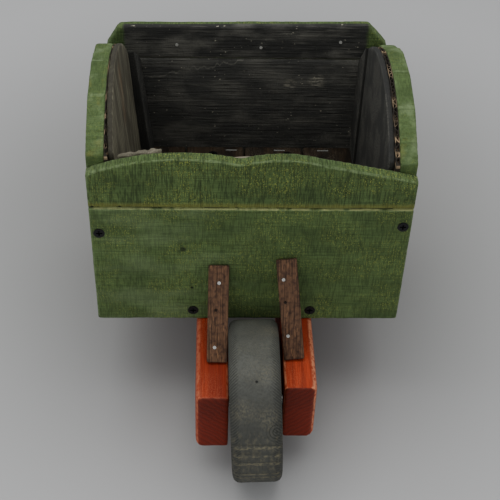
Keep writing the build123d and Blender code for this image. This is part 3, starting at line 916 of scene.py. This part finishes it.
class BARROW_OT_braces(bpy.types.Operator):
    """Build the two brace strips that lean from the shafts to the front board"""

    bl_idname = "barrow.braces"
    bl_label = "Braces"
    # Empty nail hole of each brace: millimetres right of its middle line, and share of the way up it.
    holes = {"brace_left": (-1.5, 0.54), "brace_right": (-4, 0.57)}

    def execute(self, context):
        running = context.scene.barrow_running
        for seed, node in enumerate(("brace_left", "brace_right")):
            low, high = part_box(node)
            lean = math.atan2(high.z - low.z, high.y - low.y)
            # Rough softwood lath under dark brown stain, rubbed lighter along the grain.
            kit = stained_wood(
                node + "_brown_lath",
                running.brown,
                running.brown_dark,
                running.brown_light,
                ((low.x + high.x) / 2 - 0.012, low.y, low.z - 0.02),
                (0, -lean, math.pi / 2),
                ring=4.0,
                ring_strength=0.25,
                fibre=0.6,
                blotch=8.0,
                blotch_strength=0.3,
                fleck=0.0,
                arris=0.3,
                relief=0.35,
            )
            grain = dim(running.brown_dark, 0.35)
            tint(kit, kit["spread"](34.0, 1.1, 0.48, 0.62), grain, 0.6)
            scuffs = overlap(kit, kit["spread"](7.0, 0.8, 0.54, 0.66), kit["spread"](14.0, 7.0, 0.46, 0.6))
            tint(kit, scuffs, running.brown_light, 0.7)
            thick = 4 * MM
            sideways, share = self.holes[node]
            across = (low.x + high.x) / 2 + sideways * MM
            start = Vector((across, low.y, low.z + thick * math.cos(lean)))
            end = Vector((start.x, high.y - thick * math.sin(lean), high.z))
            # The empty nail hole is painted near-black: painted shade inside it.
            dented(kit, start.lerp(end, share), 1.1 * MM, (0.004, 0.003, 0.002))
            worn_board(
                node, "brown_brace", complete(kit), 0.6 * MM, 60.0 + seed, 0.05 * MM, 0.2 * MM, passes=6
            )
        return {"FINISHED"}


class BARROW_OT_wheel(bpy.types.Operator):
    """Build the solid wooden wheel with its worn tread"""

    bl_idname = "barrow.wheel"
    bl_label = "Wheel"
    # Grooves worn across the tread: degrees above straight ahead, and half their width in degrees.
    grooves = ((16, 0.9), (9, 0.6), (1.3, 1.1), (-11.5, 0.8), (-17, 0.6))
    # Scuffs on the tread: degrees above straight ahead, millimetres across, and size in millimetres.
    scuffs = ((67, 5, 7), (42, -11, 8), (38, 7, 8), (106, 12, 8), (7, 12.5, 3), (5, 3, 2.5))
    # Knot and empty nail hole of the tread: degrees above straight ahead, and millimetres across.
    knot, hole = (28.5, 13.5), (62, -1.3)

    def execute(self, context):
        running = context.scene.barrow_running
        low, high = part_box("wheel")
        joint = frame["joints"][0]
        centre = Vector(joint["pos_m"])
        axis = Vector(joint["axis"]).normalized()
        radius = (high.y - low.y) / 2

        def on_tread(degrees, sideways):
            """A place on the tread, from degrees above straight ahead and millimetres across."""
            turned = math.radians(degrees)
            return centre + Vector((sideways * MM, -radius * math.cos(turned), radius * math.sin(turned)))

        # Softwood under thin grey stain: growth rings show where the rounded edges cut across them.
        kit = stained_wood(
            "grey_stained_wheel",
            running.grey,
            running.grey_dark,
            running.tread_bare,
            (centre.x + 9 * MM, centre.y + 30 * MM, centre.z),
            (0, -math.pi / 2, 0),
            ring=2.4,
            ring_strength=0.12,
            fibre=1.4,
            blotch=16.0,
            blotch_strength=0.4,
            fleck=0.12,
            relief=0.25,
            roughness=0.72,
        )
        tree = kit["tree"]
        level = add(
            tree,
            "Mapping",
            {"Vector": kit["place"], "Location": centre, "Rotation": (0, -math.atan2(axis.z, axis.x), 0)},
            vector_type="TEXTURE",
        )
        across, back, rise = (add(tree, "SeparateXYZ", {"Vector": level}, out=part) for part in range(3))
        forward = add(tree, "Math", {0: back, 1: -1.0}, operation="MULTIPLY")
        angle = add(tree, "Math", {0: rise, 1: forward}, operation="ARCTAN2")
        off_middle = add(tree, "Math", {0: across}, operation="ABSOLUTE")
        arc = add(tree, "Math", {0: angle, 1: radius}, operation="MULTIPLY")
        curl = add(tree, "Math", {0: off_middle, 1: 0.9, 2: arc}, operation="MULTIPLY_ADD")
        fan = add(tree, "CombineXYZ", {"X": curl, "Y": off_middle})
        lines = add(
            tree,
            "TexWave",
            {"Vector": fan, "Scale": WAVE_PERIOD / (2.3 * MM), "Distortion": 1.5, "Detail": 2.0},
            out=1,
        )
        half = (high.x - low.x) / 2
        rims = band(kit, off_middle, half - 9 * MM, half - 1 * MM, 2.5 * MM)
        lines = overlap(kit, lines, rims)
        tint(kit, lines, dim(running.grey_dark, 0.2), 0.6)
        kit["height"] = add(tree, "Math", {0: lines, 1: -1.0, 2: kit["height"]}, operation="MULTIPLY_ADD")
        spoke = add(tree, "CombineXYZ", {"X": back, "Y": rise})
        reach = add(tree, "VectorMath", {0: spoke}, out="Value", operation="LENGTH")
        tread = band(kit, reach, radius - 5 * MM, 1, 1.5 * MM)
        low_down = overlap(kit, band(kit, angle, -1.2, math.radians(28), math.radians(6)), tread)
        shaded = overlap(kit, band(kit, angle, -2.2, math.radians(58), math.radians(14)), tread)
        tint(kit, shaded, dim(running.grey_dark, 0.45), 0.5)
        scrubbed = overlap(kit, low_down, kit["spread"](6.0, 2.5, 0.45, 0.7))
        tint(kit, scrubbed, running.tread_bare, 0.18)
        for at, width in self.grooves:
            stripe = band(kit, angle, math.radians(at - width), math.radians(at + width), math.radians(0.5))
            inner = band(kit, off_middle, -1, half - 5 * MM, 2 * MM)
            stripe = overlap(kit, stripe, tread, inner, kit["spread"](1.2, 3.0, 0.38, 0.62))
            tint(kit, stripe, running.tread_bare, 0.4)
        for at, along, size in self.scuffs:
            patch = spot(kit, on_tread(at, along), size * MM, 0.6)
            patch = overlap(kit, patch, kit["spread"](3.0, 1.2, 0.4, 0.7))
            tint(kit, patch, running.tread_bare, 0.22)
        knot = on_tread(*self.knot)
        away = add(tree, "VectorMath", {0: kit["place"], 1: knot}, out="Value", operation="DISTANCE")
        ripple = add(tree, "Math", {0: away, 1: math.tau / (2.4 * MM)}, operation="MULTIPLY")
        ripple = add(tree, "Math", {0: ripple}, operation="SINE")
        ripple = add(tree, "Math", {0: ripple, 1: 0.0}, operation="MAXIMUM")
        ripple = overlap(kit, ripple, spot(kit, knot, 8 * MM, 0.3))
        tint(kit, ripple, dim(running.grey_dark, 0.2), 0.6)
        # The empty nail hole is painted near-black: painted shade inside it.
        dented(kit, on_tread(*self.hole), 0.9 * MM, (0.004, 0.004, 0.004))
        material = complete(kit)
        obj = reskin("wheel", 0.8 * MM)
        wear = weathering(70.0, 0.1 * MM, 0.15 * MM)
        bore = 4.3 * MM

        def turned_down(place, normal):
            from_axis = place - centre
            along = from_axis.dot(axis)
            outward = from_axis - along * axis
            reach = outward.length
            if reach < bore + 1.2 * MM:
                return outward.normalized() * (bore - reach)
            at = math.degrees(math.atan2(from_axis.z, -from_axis.y))
            cut = 0
            if reach > radius - 4 * MM:
                cut = sum(math.exp(-(((at - groove - 1.6) / 0.9) ** 2)) for groove, _ in self.grooves)
            return wear(place, normal) - min(1, cut) * running.wear_depth * outward.normalized()

        reshape(obj, turned_down, passes=4)
        finish_piece(obj, WHEEL, material)
        return {"FINISHED"}


# --- Fasteners and axle ---
def metal(name, base, metallic, roughness, grain):
    """A metal or its coating, with a fine mottled surface of the given size in millimetres."""
    material, tree, shader, place = new_material(name)
    mottle = add(tree, "TexNoise", {"Vector": place, "Scale": 1 / (grain * MM), "Detail": 3.0})
    tone = layered(tree, base, (mottle, dim(base, 0.6)))
    tree.links.new(tone, shader.inputs["Base Color"])
    spread = add(
        tree, "MapRange", {"Value": mottle, "To Min": roughness - 0.12, "To Max": roughness + 0.12}
    )
    tree.links.new(spread, shader.inputs["Roughness"])
    bump = add(tree, "Bump", {"Height": mottle, "Distance": 0.05 * MM})
    tree.links.new(bump, shader.inputs["Normal"])
    shader.inputs["Metallic"].default_value = metallic
    return material


class BARROW_OT_fasteners(bpy.types.Operator):
    """Finish the screws, nails, pins, staples, axle and washers"""

    bl_idname = "barrow.fasteners"
    bl_label = "Fasteners"

    def execute(self, context):
        # Black phosphate on steel: a dark matt crystal coating with a weak sheen.
        phosphate = metal("black_phosphate_steel", linear("#1d1d1f"), 0.6, 0.5, 0.5)
        # Bright drawn wire: pale grey steel.
        bright = metal("bright_drawn_steel", linear("#a8a8a4"), 1.0, 0.42, 0.8)
        # Zinc plate on steel wire: pale and a little dull.
        zinc = metal("zinc_plated_steel", linear("#cfcfc8"), 0.35, 0.4, 0.8)
        finishes = {
            zinc: ("back_pins", "floor_staples"),
            phosphate: ("front_screws", "back_screws", "floor_screws", "leg_screws"),
            bright: ("brace_nails", "axle", "axle_washers"),
        }
        for material, nodes in finishes.items():
            for node in nodes:
                dress(frame["nodes"][node], material)
        return {"FINISHED"}


# --- Stage ---
def soft_light(name, place, size, power, aim):
    """A square softbox at a place, turned to an aim."""
    data = bpy.data.lights.new(name, "AREA")
    data.shape = "SQUARE"
    data.size = size
    data.energy = power
    obj = bpy.data.objects.new(name, data)
    obj.location = place
    obj.rotation_mode = "QUATERNION"
    obj.rotation_quaternion = (Vector(aim) - Vector(place)).to_track_quat("-Z", "Y")
    bpy.context.scene.collection.objects.link(obj)


class BARROW_OT_stage(bpy.types.Operator):
    """Build the pale floor, the soft lights and the camera"""

    bl_idname = "barrow.stage"
    bl_label = "Stage"

    def execute(self, context):
        settings = context.scene.barrow_stage
        middle = (cad_low + cad_high) / 2
        mesh = bpy.data.meshes.new("floor")
        disc = bmesh.new()
        bmesh.ops.create_circle(disc, cap_ends=True, segments=128, radius=60.0)
        bmesh.ops.translate(disc, verts=disc.verts, vec=(0, 0, cad_low.z))
        disc.to_mesh(mesh)
        disc.free()
        floor = bpy.data.objects.new("floor", mesh)
        context.scene.collection.objects.link(floor)
        # Seamless paper: pale grey and matt, with painted shade: darker near a point on the paper under the
        # barrow, paler with distance from it.
        paper, tree, shader, place = new_material("seamless_paper")
        away = add(tree, "VectorMath", {0: place, 1: (0, 0.13, 0)}, out="Value", operation="DISTANCE")
        clear_of_painted_shade = add(tree, "MapRange", {"Value": away, "From Min": 0.08, "From Max": 0.48}, **SMOOTH)
        tone = layered(tree, settings.floor_painted_shade, (clear_of_painted_shade, settings.floor))
        tree.links.new(tone, shader.inputs["Base Color"])
        shader.inputs["Roughness"].default_value = 0.9
        dress(floor, paper)

        world = bpy.data.worlds.new("soft_room")
        world.use_nodes = True
        background = world.node_tree.nodes["Background"]
        background.inputs["Color"].default_value = rgba(linear("#c4c6c8"))
        background.inputs["Strength"].default_value = 0.78
        context.scene.world = world
        soft_light("key_softbox", (-0.2, 0.1, 1.9), 1.7, 23, middle)
        soft_light("front_softbox", (-0.3, -1.7, 1.0), 1.2, 8, middle)

        ahead = Vector(
            (
                math.sin(settings.turn) * math.cos(settings.elevation),
                math.cos(settings.turn) * math.cos(settings.elevation),
                -math.sin(settings.elevation),
            )
        )
        right = Vector((math.cos(settings.turn), -math.sin(settings.turn), 0))
        up = right.cross(ahead)
        level = Matrix((right, up, -ahead)).transposed()
        aim = middle + Vector((settings.look_right, -settings.look_ahead, 0))
        data = bpy.data.cameras.new("camera")
        data.sensor_width = 36
        data.lens = settings.lens
        camera = bpy.data.objects.new("camera", data)
        turned = level @ Matrix.Rotation(settings.roll, 3, "Z")
        camera.matrix_world = Matrix.Translation(aim - ahead * settings.distance) @ turned.to_4x4()
        context.scene.collection.objects.link(camera)
        context.scene.camera = camera
        return {"FINISHED"}


# --- Panel and registration ---
OPERATORS = (
    BARROW_OT_end_boards,
    BARROW_OT_side_boards,
    BARROW_OT_linings,
    BARROW_OT_cardboard,
    BARROW_OT_floor,
    BARROW_OT_shafts,
    BARROW_OT_legs,
    BARROW_OT_braces,
    BARROW_OT_wheel,
    BARROW_OT_fasteners,
    BARROW_OT_stage,
)
SETTINGS = {
    "barrow_boards": BoardSettings,
    "barrow_inside": InsideSettings,
    "barrow_running": RunningSettings,
    "barrow_stage": StageSettings,
}


class BARROW_PT_panel(bpy.types.Panel):
    """Buttons that build the barrow's pieces, with their sizes and colours"""

    bl_label = "Wooden wheelbarrow"
    bl_idname = "BARROW_PT_panel"
    bl_space_type = "VIEW_3D"
    bl_region_type = "UI"
    bl_category = "Barrow"

    def draw(self, context):
        for operator in OPERATORS:
            self.layout.operator(operator.bl_idname)
        for name, group in SETTINGS.items():
            box = self.layout.box()
            for setting in group.__annotations__:
                box.prop(getattr(context.scene, name), setting)


def register():
    """Register the settings, the operators and the panel."""
    for name, group in SETTINGS.items():
        bpy.utils.register_class(group)
        setattr(bpy.types.Scene, name, PointerProperty(type=group))
    for cls in (*OPERATORS, BARROW_PT_panel):
        bpy.utils.register_class(cls)


def unregister():
    """Take everything out again, in the reverse order."""
    for cls in (BARROW_PT_panel, *reversed(OPERATORS)):
        bpy.utils.unregister_class(cls)
    for name, group in reversed(SETTINGS.items()):
        delattr(bpy.types.Scene, name)
        bpy.utils.unregister_class(group)


def main():
    """Build every piece in order."""
    register()
    for operator in OPERATORS:
        family, name = operator.bl_idname.split(".")
        getattr(getattr(bpy.ops, family), name)()


if __name__ == "__main__":
    main()
